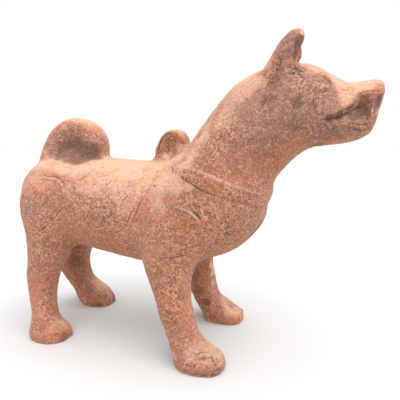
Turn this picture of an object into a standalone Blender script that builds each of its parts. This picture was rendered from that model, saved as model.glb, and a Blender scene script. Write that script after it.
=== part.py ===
"""A clay dog figurine, a standing guard dog in red earthenware, as one solid of clay.

The dog faces +X, its left side is +Y and up is +Z. Trunk, neck and head are one lofted form, and the
legs, the curled tail, the ears and the harness lug on the withers are lofted forms pressed into it. The
joined clay is smoothed, its hollows are pressed in, the harness strap and the modelled ridges are raised,
and the soles are cut flat to stand on.

The figure is a free form: its pose, proportions and carving are shares of STANCE, and what a potter
would set by itself (the strap, the lug, the walls and the depths of the hollows) is a size of its own, in
metres.
"""

import math

import bmesh
import bpy
import numpy as np
from mathutils import Matrix

NODE = "clay_dog"

# Driving sizes, in metres
STANCE = 0.170  # from a rear foot's middle to a front foot's middle
STRAP_WIDTH = 0.0145
STRAP_PROUD = 0.0027
LUG_RADIUS = 0.0174
LUG_THICKNESS = 0.0160
LUG_RIM = 0.0036
LUG_DISH = 0.0036  # how far each face of the lug is pressed in
TAIL_DISH = 0.0055
EAR_HOLLOW = 0.0046
MOUTH_WALL = 0.0180  # clay left between the mouth's two side hollows
MOUTH_DEPTH = 0.0100  # how deep each of them is pressed in, where the wall leaves that much
LIP_PROUD = 0.0030
BROW_PROUD = 0.0016
EYE_PROUD = 0.0012
EYE_LINE = 0.0011  # depth of the line round each eye
EYE_LINE_WIDTH = 0.0046
RIDGE_PROUD = 0.0011  # the soft ridges that edge the shoulder and the thigh
RIDGE_WIDTH = 0.0090

# How finely the clay is worked
CLAY_GRAIN = 0.0018  # edge of a voxel
RING_SIDES = 36
RINGS_PER_GAP = 5
KNEADING = (0.5, -0.52)  # one pass: how far each point goes in, and back out
KNEADING_PASSES = 6  # smoothing of the joined clay
BLENDING_PASSES = 34  # smoothing where the limbs grow out of the trunk
FINISHING_PASSES = 3  # smoothing once the hollows are pressed in
TRIANGLES = 9300

# Trunk, neck and head from rump to nose, in shares of STANCE. Each row is a section: its top (x, z), its
# underside (x, z), its half width, and how square it is (2 is an ellipse).
TRUNK = (
    (-0.744, 0.915, -0.745, 0.800, 0.074, 2.0),
    (-0.717, 1.026, -0.718, 0.690, 0.203, 2.2),
    (-0.610, 1.100, -0.612, 0.606, 0.266, 2.3),
    (-0.420, 1.116, -0.420, 0.560, 0.290, 2.3),
    (-0.180, 1.105, -0.180, 0.516, 0.294, 2.3),
    (0.020, 1.091, 0.030, 0.484, 0.294, 2.3),
    (0.180, 1.088, 0.240, 0.478, 0.302, 2.3),
    (0.295, 1.124, 0.450, 0.520, 0.310, 2.3),
    (0.372, 1.206, 0.640, 0.604, 0.306, 2.3),
    (0.428, 1.288, 0.765, 0.740, 0.280, 2.3),
    (0.475, 1.354, 0.800, 0.880, 0.250, 2.2),
    (0.526, 1.417, 0.829, 0.989, 0.230, 2.2),
    (0.602, 1.495, 0.902, 1.083, 0.219, 2.2),
    (0.716, 1.556, 0.990, 1.155, 0.213, 2.2),
    (0.860, 1.590, 1.092, 1.176, 0.209, 2.3),
    (0.995, 1.578, 1.160, 1.183, 0.196, 2.3),
    (1.088, 1.524, 1.215, 1.195, 0.163, 2.3),
    (1.168, 1.484, 1.255, 1.212, 0.132, 2.4),
    (1.238, 1.487, 1.282, 1.232, 0.116, 2.5),
    (1.302, 1.494, 1.296, 1.246, 0.111, 2.5),
    (1.341, 1.456, 1.292, 1.270, 0.086, 2.4),
)

# A rear and a front leg from inside the trunk down to the sole: middle (x, y, z), half length, half width
REAR_LEG = (
    (-0.500, 0.145, 1.000, 0.110, 0.110),
    (-0.505, 0.165, 0.910, 0.175, 0.152),
    (-0.508, 0.172, 0.790, 0.190, 0.156),
    (-0.504, 0.182, 0.640, 0.154, 0.142),
    (-0.526, 0.198, 0.510, 0.123, 0.120),
    (-0.563, 0.215, 0.380, 0.097, 0.094),
    (-0.560, 0.235, 0.260, 0.079, 0.080),
    (-0.538, 0.254, 0.150, 0.073, 0.077),
    (-0.527, 0.262, 0.098, 0.085, 0.087),
    (-0.504, 0.262, 0.055, 0.122, 0.100),
    (-0.494, 0.262, -0.014, 0.136, 0.104),
)
FRONT_LEG = (
    (0.325, 0.110, 0.900, 0.105, 0.100),
    (0.330, 0.158, 0.800, 0.165, 0.148),
    (0.303, 0.184, 0.650, 0.184, 0.146),
    (0.285, 0.218, 0.500, 0.140, 0.115),
    (0.311, 0.244, 0.380, 0.103, 0.097),
    (0.350, 0.264, 0.250, 0.094, 0.088),
    (0.395, 0.278, 0.150, 0.091, 0.087),
    (0.434, 0.284, 0.100, 0.112, 0.096),
    (0.474, 0.284, 0.060, 0.140, 0.106),
    (0.483, 0.284, -0.014, 0.138, 0.106),
)
LEG_SQUARE = 2.35
# The left legs stand bowed further back: by how much at the most, from which height and up to which
STRAIGHT = (0.0, 0.0, 1.0)
LEFT_REAR_BOW = (0.108, 0.02, 0.75)
LEFT_FRONT_BOW = (0.024, 0.04, 0.32)
BOW_SKEW = 0.8  # under 1 the bow is fullest below its middle
BOW_SWELL = 0.25  # how much a bowed leg thickens for each share that it is set back
LEFT_REAR_INSTEP = 0.036  # how much fuller the left rear paw's instep is
INSTEP = (0.105, 0.045)  # at what height, and over what span
LIMB_BLEND = (0.42, 0.98, 0.06)  # from which height to which, and how far out, the limbs are blended in

# The tail's roll, from its root in the rump, up and forward to where it comes down on the back: its
# middle (x, z), half thickness and half width
TAIL = (
    (-0.600, 0.950, 0.120, 0.120),
    (-0.584, 1.060, 0.108, 0.116),
    (-0.544, 1.160, 0.098, 0.114),
    (-0.494, 1.231, 0.094, 0.112),
    (-0.414, 1.264, 0.090, 0.112),
    (-0.333, 1.234, 0.088, 0.110),
    (-0.302, 1.164, 0.084, 0.108),
    (-0.328, 1.090, 0.072, 0.098),
    (-0.350, 1.040, 0.060, 0.070),
)
TAIL_EYE = (-0.416, 1.140)  # the middle of the curl
TAIL_EYE_REACH = 0.165
TAIL_CORE = 0.110  # half width of the clay that closes the curl
TAIL_CORE_EDGE = 0.041  # how far its edge is rounded over
TAIL_SQUARE = 2.4
TAIL_HOLLOW = (-0.410, 1.172)  # where each side of the curl is pressed in the deepest
TAIL_HOLLOW_REACH = 0.150
# The clay spread from the curl over the back: its middle (x, z), half length, half height and half width
TAIL_FOOT = (-0.402, 1.000, 0.178, 0.192, 0.204)

# One ear from inside the skull to its tip: its middle (x, y, z), half width and half thickness
EAR = (
    (0.800, 0.125, 1.440, 0.085, 0.064),
    (0.832, 0.132, 1.520, 0.073, 0.058),
    (0.863, 0.137, 1.590, 0.062, 0.050),
    (0.892, 0.139, 1.650, 0.057, 0.043),
    (0.919, 0.138, 1.695, 0.046, 0.035),
    (0.934, 0.135, 1.725, 0.027, 0.022),
)
EAR_SPREAD = (0.93, 0.08, -0.36)  # the way an ear is wide
LEFT_EAR_BACK = 0.016  # how much further back the left ear is set
EAR_GROOVE = ((0.725, 1.350), (0.768, 1.430), (0.815, 1.510), (0.868, 1.600), (0.905, 1.680))
EAR_GROOVE_REACH = 0.050

LUG_MIDDLE = (0.227, 1.170)
LUG_FOOT_DEPTH = 0.080  # how much longer the lug is downwards, into the withers
LUG_LEAN = 0.22  # how far it leans forward for its height
LUG_WEDGE = 0.45  # how much thicker it is at its front edge than at its middle, as a share
LUG_SQUARE = 2.25

# The strap's middle line from the lug's foot to the front of the chest, in side view (x, z)
STRAP = ((0.250, 1.115), (0.350, 1.055), (0.460, 1.003), (0.600, 0.950), (0.710, 0.920), (0.830, 0.905))
STRAP_EDGE = 0.5  # over what share of its half width it rises
STRAP_CROWN = 0.34  # how much lower its middle is than its upper edge, as a share
STRAP_START = 0.08  # over what length it rises out of the lug's foot

# The mouth's side hollow, in side view: its roof from the corner along the upper lip to the front, and
# its floor back from there along the lower lip
MOUTH_ROOF = (
    (1.064, 1.298),
    (1.120, 1.322),
    (1.160, 1.346),
    (1.193, 1.374),
    (1.214, 1.406),
    (1.244, 1.414),
    (1.270, 1.398),
)
MOUTH_FLOOR = ((1.268, 1.290), (1.244, 1.272), (1.190, 1.284), (1.064, 1.298))
MOUTH_EDGE = 0.020  # over how much of the roof's inner side the hollow falls away
MOUTH_SLOPE = 0.7  # how steeply it rises to the floor: under 1 it stays deep for longer
MOUTH_TAPER = 0.22  # the share of its length over which it deepens from the corner

EYE = (1.046, 1.443)
EYE_HALF_SIZE = (0.040, 0.028)
EYE_TILT = math.radians(-12)
EYE_FILL = 1.15  # how far the eyeball's rise reaches, for each half size
BROW = ((0.985, 1.530), (1.040, 1.512), (1.085, 1.480), (1.105, 1.450))
BROW_REACH = 0.034
UPPER_LIP = ((1.040, 1.305), (1.110, 1.336), (1.160, 1.368), (1.200, 1.412), (1.250, 1.436))
LOWER_LIP = ((1.120, 1.286), (1.190, 1.272), (1.245, 1.260), (1.290, 1.268))
LIP_REACH = 0.030

# Ridges on each flank, in side view: middle (x, z), radius and the angles from where to where
SHOULDER_ARC = (0.330, 0.690, 0.185, 15, 105)
THIGH_ARC = (-0.470, 0.880, 0.155, -55, 125)


def metres(shares):
    """Shares of the stance as metres."""
    return np.asarray(shares, dtype=float) * STANCE


def through(rows, per_gap):
    """Rows of a smooth curve through the given rows, per_gap to each gap."""
    rows = np.asarray(rows, dtype=float)
    at = np.concatenate([[0.0], np.cumsum(np.linalg.norm(np.diff(rows, axis=0), axis=1))])
    slopes = np.gradient(rows, at, axis=0)
    out = []
    for i in range(len(rows) - 1):
        gap = at[i + 1] - at[i]
        for t in np.linspace(0.0, 1.0, per_gap, endpoint=False):
            out.append(
                (2 * t**3 - 3 * t**2 + 1) * rows[i]
                + (t**3 - 2 * t**2 + t) * gap * slopes[i]
                + (3 * t**2 - 2 * t**3) * rows[i + 1]
                + (t**3 - t**2) * gap * slopes[i + 1]
            )
    out.append(rows[-1])
    return np.array(out)


def section(middle, across, along, square=2.0):
    """A closed ring of points: an ellipse, or a squarer oval, on two half axes."""
    ring = []
    for k in range(RING_SIDES):
        angle = 2 * math.pi * k / RING_SIDES
        c = math.copysign(abs(math.cos(angle)) ** (2 / square), math.cos(angle))
        s = math.copysign(abs(math.sin(angle)) ** (2 / square), math.sin(angle))
        ring.append(np.asarray(middle) + c * np.asarray(across) + s * np.asarray(along))
    return ring


def loft(rings):
    """A closed bmesh through the rings, with a fan at each end."""
    bm = bmesh.new()
    loops = [[bm.verts.new(point) for point in ring] for ring in rings]
    for first, second in zip(loops, loops[1:]):
        for k in range(RING_SIDES):
            after = (k + 1) % RING_SIDES
            bm.faces.new((first[k], first[after], second[after], second[k]))
    for loop, points in ((loops[0], rings[0]), (loops[-1], rings[-1])):
        tip = bm.verts.new(np.mean(points, axis=0))
        for k in range(RING_SIDES):
            bm.faces.new((loop[k], loop[(k + 1) % RING_SIDES], tip))
    bmesh.ops.recalc_face_normals(bm, faces=bm.faces)
    return bm


def trunk():
    """Rump, barrel, chest, neck, skull and muzzle."""
    rings = []
    for top_x, top_z, under_x, under_z, half_width, square in through(TRUNK, RINGS_PER_GAP):
        top = metres((top_x, 0.0, top_z))
        under = metres((under_x, 0.0, under_z))
        across = metres((0.0, half_width, 0.0))
        rings.append(section((top + under) / 2, across, (top - under) / 2, square))
    return loft(rings)


def leg(path, side, bow=STRAIGHT, instep=0.0):
    """One leg with its paw, on the side +1 (left) or -1 (right)."""
    most, foot, top = bow
    rings = []
    for x, y, z, half_length, half_width in through(path, RINGS_PER_GAP):
        share = min(max((z - foot) / (top - foot), 0.0), 1.0)
        back = most * math.sin(math.pi * share**BOW_SKEW)
        swell = BOW_SWELL * back
        fuller = instep * math.exp(-(((z - INSTEP[0]) / INSTEP[1]) ** 2))
        across = metres((0, half_width + swell, 0))
        along = metres((half_length + swell + fuller, 0, 0))
        rings.append(section(metres((x - back + fuller, side * y, z)), along, across, LEG_SQUARE))
    return loft(rings)


def tail():
    """The tail's thick roll, bent forward over the rump."""
    rows = through(TAIL, RINGS_PER_GAP)
    ways = np.gradient(rows[:, :2], axis=0)
    rings = []
    for (x, z, half_thickness, half_width), way in zip(rows, ways):
        out = np.array((-way[1], 0.0, way[0])) / np.linalg.norm(way)
        across = metres((0.0, half_width, 0.0))
        up = out * half_thickness * STANCE
        rings.append(section(metres((x, 0.0, z)), across, up, TAIL_SQUARE))
    return loft(rings)


def plate(middle, along_x, along_z, half_thickness, edge, square, wedge=0.0):
    """A plate standing in the dog's median plane on two half axes, its edge rounded over.

    A wedge makes it thicker towards its front, by that share at the front edge.
    """
    steps = 12
    rings = []
    for k in range(steps + 1):
        turn = math.pi * k / steps
        y = -half_thickness * math.cos(turn)
        inset = edge * (1 - math.sin(turn))
        across = along_x * (1 - inset / np.linalg.norm(along_x))
        along = along_z * (1 - inset / np.linalg.norm(along_z))
        ring = np.array(section(middle + np.array((0, y, 0)), across, along, square))
        ring[:, 1] *= 1 + wedge * (ring[:, 0] - middle[0]) / np.linalg.norm(along_x)
        rings.append(ring)
    return loft(rings)


def tail_core():
    """The clay that closes the tail's curl."""
    reach = TAIL_EYE_REACH * STANCE
    middle = metres((TAIL_EYE[0], 0, TAIL_EYE[1]))
    along_x = np.array((reach, 0, 0))
    along_z = np.array((0, 0, reach))
    return plate(middle, along_x, along_z, TAIL_CORE * STANCE, TAIL_CORE_EDGE * STANCE, 2.0)


def tail_foot():
    """The clay spread from the curl's underside over the back."""
    x, z, half_length, half_height, half_width = metres(TAIL_FOOT)
    steps = 14
    rings = []
    for k in range(1, steps):
        turn = math.pi * k / steps
        middle = np.array((x, -half_width * math.cos(turn), z))
        across = np.array((half_length, 0, 0)) * math.sin(turn)
        along = np.array((0, 0, half_height)) * math.sin(turn)
        rings.append(section(middle, across, along))
    return loft(rings)


def lug():
    """The harness lug on the withers, a standing plate with a deep foot."""
    half_foot = LUG_FOOT_DEPTH * STANCE / 2
    reach_z = LUG_RADIUS + half_foot
    middle = metres((LUG_MIDDLE[0], 0, LUG_MIDDLE[1])) - np.array((LUG_LEAN * half_foot, 0, half_foot))
    along_x = np.array((LUG_RADIUS, 0, 0))
    along_z = np.array((LUG_LEAN * reach_z, 0, reach_z))
    return plate(middle, along_x, along_z, LUG_THICKNESS / 2, LUG_RIM / 2, LUG_SQUARE, LUG_WEDGE)


def ear(side):
    """One pricked ear, a thick leaf."""
    spread = np.array((EAR_SPREAD[0], side * EAR_SPREAD[1], EAR_SPREAD[2]))
    spread /= np.linalg.norm(spread)
    back = LEFT_EAR_BACK if side > 0 else 0.0
    rings = []
    for x, y, z, half_width, half_thickness in through(EAR, RINGS_PER_GAP):
        thick = metres((0, half_thickness, 0))
        rings.append(section(metres((x - back, side * y, z)), spread * half_width * STANCE, thick))
    return loft(rings)


def object_from(bm, name):
    """A scene object from a bmesh."""
    mesh = bpy.data.meshes.new(name)
    bm.to_mesh(mesh)
    bm.free()
    obj = bpy.data.objects.new(name, mesh)
    bpy.context.scene.collection.objects.link(obj)
    return obj


def join(forms):
    """One object that holds all the forms."""
    whole = bmesh.new()
    for bm in forms:
        mesh = bpy.data.meshes.new("form")
        bm.to_mesh(mesh)
        bm.free()
        whole.from_mesh(mesh)
        bpy.data.meshes.remove(mesh)
    return object_from(whole, NODE)


def settle(obj):
    """Turns an object's modifiers into its mesh."""
    graph = bpy.context.evaluated_depsgraph_get()
    mesh = bpy.data.meshes.new_from_object(obj.evaluated_get(graph))
    obj.modifiers.clear()
    old = obj.data
    obj.data = mesh
    bpy.data.meshes.remove(old)


def skin(obj, grain):
    """One closed skin of even faces round all that the object holds."""
    mod = obj.modifiers.new("skin", "REMESH")
    mod.mode = "VOXEL"
    mod.voxel_size = grain
    settle(obj)


def knead(obj, passes):
    """Smooths the clay, swelling it back after each pass so that it keeps its size."""
    bm = bmesh.new()
    bm.from_mesh(obj.data)
    for _ in range(passes):
        for factor in KNEADING:
            smooth(bm, bm.verts, factor)
    bm.to_mesh(obj.data)
    bm.free()


def smooth(bm, verts, factor):
    """Moves points towards the middle of their neighbours, or away from it."""
    bmesh.ops.smooth_vert(
        bm, verts=verts, factor=factor, use_axis_x=True, use_axis_y=True, use_axis_z=True
    )


def blend_limbs(obj, passes):
    """Softens the valleys where the four limbs grow out of the trunk."""
    back, low, flank = metres((TRUNK[0][0], LIMB_BLEND[0], LIMB_BLEND[2]))
    front, high = metres((TRUNK[8][2], LIMB_BLEND[1]))
    bm = bmesh.new()
    bm.from_mesh(obj.data)
    verts = [
        v
        for v in bm.verts
        if back < v.co.x < front and low < v.co.z < high and abs(v.co.y) > flank
    ]
    for _ in range(passes):
        smooth(bm, verts, 0.5)
    bm.to_mesh(obj.data)
    bm.free()


def points_and_normals(obj):
    """The mesh's points and their normals, as arrays."""
    count = len(obj.data.vertices)
    points = np.empty(count * 3)
    normals = np.empty(count * 3)
    obj.data.vertices.foreach_get("co", points)
    obj.data.vertices.foreach_get("normal", normals)
    return points.reshape(-1, 3), normals.reshape(-1, 3)


def put_points(obj, points):
    """Moves the mesh's points."""
    obj.data.vertices.foreach_set("co", points.ravel())
    obj.data.update()


def from_path(spots, path):
    """Each spot's distance from a path, its side (positive on the left of the way), both in a plane."""
    best = np.full(len(spots), 1e9)
    signed = np.zeros(len(spots))
    for start, end in zip(path, path[1:]):
        way = end - start
        share = np.clip(((spots - start) @ way) / (way @ way), 0, 1)
        gap = spots - (start + share[:, None] * way)
        distance = np.linalg.norm(gap, axis=1)
        cross = way[0] * gap[:, 1] - way[1] * gap[:, 0]
        nearer = distance < best
        best[nearer] = distance[nearer]
        signed[nearer] = np.copysign(distance, cross)[nearer]
    return best, signed


def ease(share):
    """A smooth step from 0 to 1."""
    share = np.clip(share, 0, 1)
    return share * share * (3 - 2 * share)


def sideways(normals, start=0.1):
    """How far each face looks sideways: 0 up to the start's share, 1 from half as much again on."""
    return ease(2 * (np.abs(normals[:, 1]) - start))


def ridge(obj, path, reach, proud):
    """Raises a soft ridge along a path in side view, or presses a groove where proud is negative.

    It fades out towards both ends of the path, and off the faces that don't look sideways.
    """
    points, normals = points_and_normals(obj)
    spots = points[:, [0, 2]]
    distance, _ = from_path(spots, path)
    ends = np.minimum(
        np.linalg.norm(spots - path[0], axis=1), np.linalg.norm(spots - path[-1], axis=1)
    )
    lift = proud * ease(1 - distance / reach) * ease(ends / (2 * reach)) * sideways(normals)
    put_points(obj, points + normals * lift[:, None])


def arc_path(arc):
    """The points of an arc given by its middle, radius and two angles."""
    x, z, radius, start, end = arc
    angles = np.radians(np.linspace(start, end, 13))
    return metres(np.column_stack([x + radius * np.cos(angles), z + radius * np.sin(angles)]))


def inside(spots, outline):
    """Which spots lie inside a closed outline."""
    held = np.zeros(len(spots), dtype=bool)
    for (x0, z0), (x1, z1) in zip(outline, np.roll(outline, -1, axis=0)):
        spans = (z0 > spots[:, 1]) != (z1 > spots[:, 1])
        reach = (x1 - x0) * (spots[:, 1] - z0) / (z1 - z0 + 1e-12) + x0
        held ^= spans & (spots[:, 0] < reach)
    return held


def open_mouth(obj):
    """Presses the mouth's hollow into each side of the muzzle, towards the wall between them.

    It is deepest under the roof and rises from there to the floor.
    """
    points, _ = points_and_normals(obj)
    roof = metres(MOUTH_ROOF)
    floor = metres(MOUTH_FLOOR)
    spots = points[:, [0, 2]]
    from_roof, _ = from_path(spots, np.vstack([roof, floor[:1]]))
    from_floor, _ = from_path(spots, floor)
    slope = ease(from_roof / (MOUTH_EDGE * STANCE)) * inside(spots, np.vstack([roof, floor[:-1]]))
    slope *= (from_floor / (from_floor + from_roof)) ** MOUTH_SLOPE
    corner = roof[0, 0]
    front = roof[:, 0].max()
    slope *= ease((spots[:, 0] - corner) / (MOUTH_TAPER * (front - corner)))
    spare = np.clip(np.abs(points[:, 1]) - MOUTH_WALL / 2, 0, MOUTH_DEPTH)
    points[:, 1] -= np.sign(points[:, 1]) * spare * slope
    put_points(obj, points)


def dish(obj, middle, reach, depth, steepness):
    """Presses a round dish into both faces of a plate that stands in the median plane."""
    points, normals = points_and_normals(obj)
    away = np.linalg.norm(points[:, [0, 2]] - metres(middle), axis=1)
    fall = ease((1 - away / reach) * steepness) * sideways(normals, 0.3)
    points[:, 1] -= np.sign(points[:, 1]) * depth * fall
    put_points(obj, points)


def set_eyes(obj):
    """Raises each eyeball and presses the line round it."""
    points, normals = points_and_normals(obj)
    way = np.array((math.cos(EYE_TILT), math.sin(EYE_TILT)))
    gap = points[:, [0, 2]] - metres(EYE)
    long, short = metres(EYE_HALF_SIZE)
    across = gap @ way
    up = gap @ np.array((-way[1], way[0]))
    away = np.hypot(across / long, up / short)
    ball = EYE_PROUD * ease(EYE_FILL - away)
    line = EYE_LINE * ease(1 - np.abs(away - 1) * short / (EYE_LINE_WIDTH / 2))
    put_points(obj, points + normals * ((ball - line) * sideways(normals))[:, None])


def lay_strap(obj):
    """Raises the harness strap round the neck's root, fullest along its upper edge."""
    points, normals = points_and_normals(obj)
    path = through(metres(STRAP), RINGS_PER_GAP)
    distance, signed = from_path(points[:, [0, 2]], path)
    half = STRAP_WIDTH / 2
    band = ease((half - distance) / (STRAP_EDGE * half))
    crown = 1 - STRAP_CROWN * (1 - np.clip(signed / half, -1, 1))
    ahead = ease((points[:, 0] - path[0, 0]) / (STRAP_START * STANCE))
    lift = STRAP_PROUD * band * crown * ahead
    put_points(obj, points + normals * lift[:, None])


def thin_out(obj, triangles):
    """Leaves the given number of triangles, the most where the clay bends most."""
    obj.modifiers.new("triangulate", "TRIANGULATE")
    settle(obj)
    mod = obj.modifiers.new("thin", "DECIMATE")
    mod.ratio = triangles / len(obj.data.polygons)
    settle(obj)


def cut_soles(obj):
    """Cuts the paws off flat at the ground."""
    bm = bmesh.new()
    bm.from_mesh(obj.data)
    everything = list(bm.verts) + list(bm.edges) + list(bm.faces)
    cut = bmesh.ops.bisect_plane(
        bm, geom=everything, dist=1e-6, plane_co=(0, 0, 0), plane_no=(0, 0, -1), clear_outer=True
    )
    rim = [item for item in cut["geom_cut"] if isinstance(item, bmesh.types.BMEdge)]
    bmesh.ops.holes_fill(bm, edges=rim, sides=0)
    bmesh.ops.triangulate(bm, faces=bm.faces)
    bmesh.ops.recalc_face_normals(bm, faces=bm.faces)
    bm.to_mesh(obj.data)
    bm.free()


def modelled_dog():
    """The whole figure, with the ground at z = 0."""
    forms = [trunk(), tail(), tail_core(), tail_foot(), lug(), ear(-1), ear(1)]
    forms += [leg(REAR_LEG, -1), leg(REAR_LEG, 1, LEFT_REAR_BOW, LEFT_REAR_INSTEP)]
    forms += [leg(FRONT_LEG, -1), leg(FRONT_LEG, 1, LEFT_FRONT_BOW)]
    dog = join(forms)
    skin(dog, CLAY_GRAIN)
    knead(dog, KNEADING_PASSES)
    blend_limbs(dog, BLENDING_PASSES)
    dish(dog, LUG_MIDDLE, LUG_RADIUS - LUG_RIM, LUG_DISH, 2.5)
    dish(dog, TAIL_HOLLOW, TAIL_HOLLOW_REACH * STANCE, TAIL_DISH, 1.1)
    ridge(dog, metres(EAR_GROOVE), EAR_GROOVE_REACH * STANCE, -EAR_HOLLOW)
    ridge(dog, metres(BROW), BROW_REACH * STANCE, BROW_PROUD)
    ridge(dog, metres(UPPER_LIP), LIP_REACH * STANCE, LIP_PROUD)
    ridge(dog, metres(LOWER_LIP), LIP_REACH * STANCE, LIP_PROUD / 2)
    set_eyes(dog)
    lay_strap(dog)
    ridge(dog, arc_path(SHOULDER_ARC), RIDGE_WIDTH / 2, RIDGE_PROUD)
    ridge(dog, arc_path(THIGH_ARC), RIDGE_WIDTH / 2, RIDGE_PROUD)
    open_mouth(dog)
    skin(dog, CLAY_GRAIN)
    knead(dog, FINISHING_PASSES)
    thin_out(dog, TRIANGLES)
    cut_soles(dog)
    return dog


def stand_on_origin(obj):
    """Puts the middle of the figure's bounding box over the origin."""
    points, _ = points_and_normals(obj)
    middle = (points.min(axis=0) + points.max(axis=0)) / 2
    obj.data.transform(Matrix.Translation((-middle[0], -middle[1], 0.0)))


def clay():
    """Low-fired red earthenware, bare and matt."""
    material = bpy.data.materials.new("earthenware")
    material.use_nodes = True
    shader = material.node_tree.nodes["Principled BSDF"]
    shader.inputs["Base Color"].default_value = (0.60, 0.31, 0.21, 1.0)
    shader.inputs["Roughness"].default_value = 0.88
    shader.inputs["Metallic"].default_value = 0.0
    return material


def main():
    """Builds the dog and stands it on the origin."""
    for obj in list(bpy.data.objects):
        bpy.data.objects.remove(obj, do_unlink=True)
    dog = modelled_dog()
    stand_on_origin(dog)
    dog.data.materials.append(clay())
    dog.data.shade_smooth()
    dog.data.set_sharp_from_angle(angle=math.radians(50))


main()
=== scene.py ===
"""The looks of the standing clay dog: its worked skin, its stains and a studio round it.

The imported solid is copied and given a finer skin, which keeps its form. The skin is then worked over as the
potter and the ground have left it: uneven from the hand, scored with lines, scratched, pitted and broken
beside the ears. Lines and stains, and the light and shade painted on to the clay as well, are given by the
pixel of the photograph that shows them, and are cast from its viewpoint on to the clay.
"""

import logging
import math
from dataclasses import dataclass, field, fields
from enum import Enum
from functools import partial
from random import Random

import bmesh
import bpy
import numpy as np
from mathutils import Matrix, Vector, noise
from mathutils.bvhtree import BVHTree
from mathutils.kdtree import KDTree

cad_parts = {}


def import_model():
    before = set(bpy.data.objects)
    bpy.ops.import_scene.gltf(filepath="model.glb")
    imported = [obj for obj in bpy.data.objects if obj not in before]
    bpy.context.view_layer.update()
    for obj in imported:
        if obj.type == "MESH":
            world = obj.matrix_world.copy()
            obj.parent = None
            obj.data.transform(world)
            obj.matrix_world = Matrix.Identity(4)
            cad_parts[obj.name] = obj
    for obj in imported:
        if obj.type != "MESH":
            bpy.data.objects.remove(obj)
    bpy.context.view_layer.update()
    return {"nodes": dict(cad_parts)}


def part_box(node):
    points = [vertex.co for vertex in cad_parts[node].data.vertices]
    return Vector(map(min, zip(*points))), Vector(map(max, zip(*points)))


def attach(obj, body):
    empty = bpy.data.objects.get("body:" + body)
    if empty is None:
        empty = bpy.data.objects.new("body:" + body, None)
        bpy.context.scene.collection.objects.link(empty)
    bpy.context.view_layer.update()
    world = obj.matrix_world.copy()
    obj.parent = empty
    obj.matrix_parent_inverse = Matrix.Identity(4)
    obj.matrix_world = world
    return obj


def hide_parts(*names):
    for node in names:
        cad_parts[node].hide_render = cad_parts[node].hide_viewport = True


LOG = logging.getLogger("clay dog")
NODE = "clay_dog"
BODY = "root"
PHOTO = 400  # pixels along each side of the photograph
LINE_STEP = 0.7  # pixels between a line's points
MM = 0.001

Pixel = tuple[float, float]
Path = tuple[Pixel, ...]
Places = tuple[tuple[float, float, float, float], ...]  # each a pixel, a radius in millimetres and a strength


def rgb(code: str) -> tuple[float, float, float, float]:
    """Turns an sRGB hex colour into linear RGBA.

    Args:
        code: The colour, such as "#CB977F".

    Returns:
        The linear colour, opaque.
    """
    shares = [int(code[i : i + 2], 16) / 255 for i in (1, 3, 5)]
    linear = [s / 12.92 if s <= 0.04045 else ((s + 0.055) / 1.055) ** 2.4 for s in shares]
    return (linear[0], linear[1], linear[2], 1.0)


def out(source: bpy.types.Node | bpy.types.NodeSocket, name: str = "") -> bpy.types.NodeSocket:
    """Finds an output.

    Args:
        source: A node, or an output itself.
        name: The output's name, or nothing for the first one in use.

    Returns:
        The output.
    """
    if isinstance(source, bpy.types.NodeSocket):
        return source
    return next(s for s in source.outputs if s.enabled and name in ("", s.name))


def add(tree: bpy.types.NodeTree, kind: str, links: dict | None = None, **settings) -> bpy.types.Node:
    """Adds a node with its settings and links.

    Args:
        tree: The tree that it goes into.
        kind: The node's type.
        links: For each input, by name or number, a value, a node or another node's output.
        **settings: The node's own properties.

    Returns:
        The node.
    """
    node = tree.nodes.new(kind)
    for name, value in settings.items():
        setattr(node, name, value)
    for key, value in (links or {}).items():
        if isinstance(key, int):
            socket = node.inputs[key]
        else:
            socket = next(s for s in node.inputs if s.enabled and s.name == key)
        if isinstance(value, (bpy.types.Node, bpy.types.NodeSocket)):
            tree.links.new(out(value), socket)
        else:
            socket.default_value = value
    return node


def settle(piece: bpy.types.Object) -> None:
    """Turns a piece's modifiers into its mesh.

    Args:
        piece: The piece.
    """
    graph = bpy.context.evaluated_depsgraph_get()
    mesh = bpy.data.meshes.new_from_object(piece.evaluated_get(graph), depsgraph=graph)
    piece.modifiers.clear()
    old = piece.data
    piece.data = mesh
    mesh.name = piece.name
    bpy.data.meshes.remove(old)


def points_of(piece: bpy.types.Object) -> np.ndarray:
    """Reads a piece's points.

    Args:
        piece: The piece.

    Returns:
        One row of three for each point.
    """
    rows = np.empty(len(piece.data.vertices) * 3, dtype=np.float32)
    piece.data.vertices.foreach_get("co", rows)
    return rows.reshape(-1, 3).astype(float)


def put_points(piece: bpy.types.Object, points: np.ndarray) -> None:
    """Moves a piece's points to one row of three for each."""
    piece.data.vertices.foreach_set("co", points.astype(np.float32).ravel())
    piece.data.update()


def layer_of(piece: bpy.types.Object, name: str) -> np.ndarray:
    """Reads the number that each of a piece's points carries under a name.

    Args:
        piece: The piece.
        name: The name.

    Returns:
        The numbers.
    """
    values = np.empty(len(piece.data.vertices), dtype=np.float32)
    piece.data.attributes[name].data.foreach_get("value", values)
    return values


def put_layer(piece: bpy.types.Object, name: str, values: np.ndarray) -> None:
    """Stores a number under a name at each of a piece's points."""
    layer = piece.data.attributes.get(name) or piece.data.attributes.new(name, "FLOAT", "POINT")
    layer.data.foreach_set("value", values.astype(np.float32))


def ease(share: np.ndarray) -> np.ndarray:
    """A smooth step from 0 to 1."""
    share = np.clip(share, 0, 1)
    return share * share * (3 - 2 * share)


def inside(points: np.ndarray, centre: Vector, radius: float, edge: float) -> np.ndarray:
    """How far inside a place each point is.

    Args:
        points: The points, one a row.
        centre: The middle of the place.
        radius: Its radius in millimetres.
        edge: How steeply it begins.

    Returns:
        Each point's share, from 0 outside to 1 in the middle.
    """
    away = np.linalg.norm(points - np.array(centre), axis=1)
    return ease(edge * (1 - away / (radius * MM)))


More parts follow.
